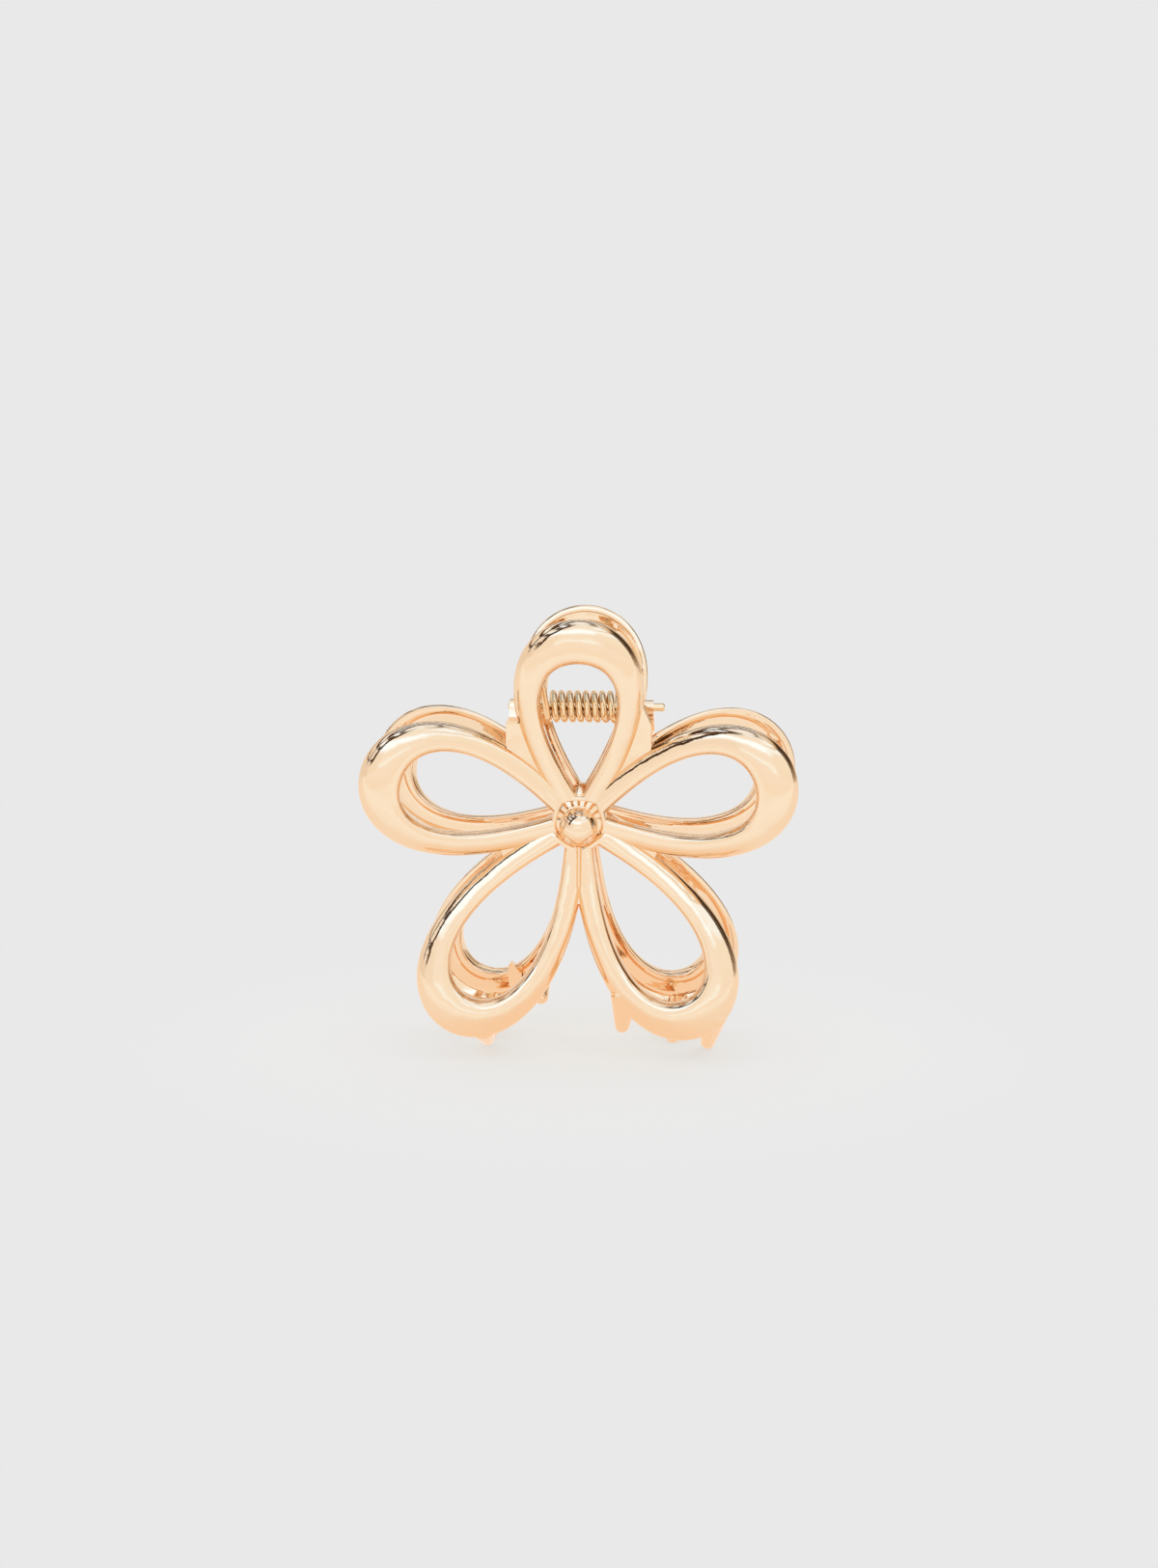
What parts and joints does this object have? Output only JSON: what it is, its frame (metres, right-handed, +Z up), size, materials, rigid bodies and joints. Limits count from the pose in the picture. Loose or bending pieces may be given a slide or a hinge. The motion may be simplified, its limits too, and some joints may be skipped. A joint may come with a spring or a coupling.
{
  "type": "hair clip",
  "caption": "Claw hair clip of cast metal: an open petalled flower in front and behind, hinged on a cross pin at the top petals with a coil spring between the levers, and teeth below.",
  "frame": {"origin": "on the surface that the closed clip stands on, under the middle of its box", "axes": "+X along the hinge pin to the clip's right seen from the front, +Y from the front half to the back half, +Z up from the teeth to the levers"},
  "size_m": [0.0586, 0.0244, 0.06],
  "materials": {
    "plated_casting": "polished",
    "plated_wire": "polished"
  },
  "bodies": {
    "back_half": {"back_flower": "plated_casting", "hinge_pin": "plated_wire", "torsion_spring": "plated_wire"},
    "front_half": {"front_flower": "plated_casting"}
  },
  "joints": [
    {"name": "clip_hinge", "type": "hinge", "parent": "back_half", "child": "front_half", "pos_m": [0, 0, 0.047], "axis": [-1, 0, 0], "range_deg": [0, 60], "stiffness_Nm_per_rad": 0.1, "springref_deg": -34.38, "deforming": ["torsion_spring"]}
  ]
}
